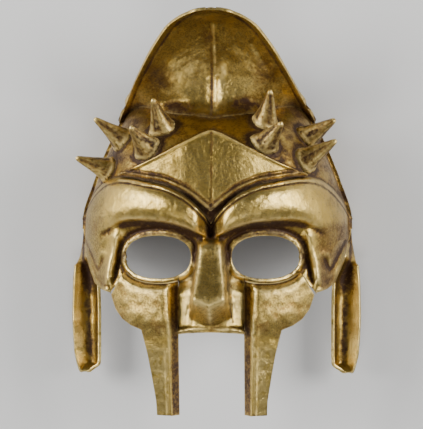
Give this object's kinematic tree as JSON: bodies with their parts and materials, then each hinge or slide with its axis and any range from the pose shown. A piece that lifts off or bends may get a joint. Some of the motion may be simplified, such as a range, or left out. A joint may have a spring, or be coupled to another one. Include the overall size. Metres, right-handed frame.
{
  "type": "gladiator helmet mask",
  "caption": "Gold-leaf carnival mask shaped as a gladiator's helmet: fan crest, spiked skull, brow plate, long-nosed visor, hanging cheek bars and side guards.",
  "frame": {"origin": "middle of the mask's outline, in the plane of the rear rim that it rests on", "axes": "+Z out of the face towards the viewer, +Y up the face towards the crest, +X to the viewer's right"},
  "size_m": [0.186, 0.2504, 0.104],
  "materials": {
    "gilded_shell": "papier-mache under burnished gold leaf, aged with brown patina in the grooves",
    "gilded_spike": "gold leaf over a hand-formed core, dark glue line at the foot"
  },
  "bodies": {
    "root": {"crest": "gilded_shell", "skull_shell": "gilded_shell", "brow_plate": "gilded_shell", "visor": "gilded_shell", "cheek_plate_left": "gilded_shell", "side_guard_left": "gilded_shell", "cheek_plate_right": "gilded_shell", "side_guard_right": "gilded_shell", "spike_left_1": "gilded_spike", "spike_left_2": "gilded_spike", "spike_left_3": "gilded_spike", "spike_left_4": "gilded_spike", "spike_right_1": "gilded_spike", "spike_right_2": "gilded_spike", "spike_right_3": "gilded_spike", "spike_right_4": "gilded_spike"}
  },
  "joints": []
}
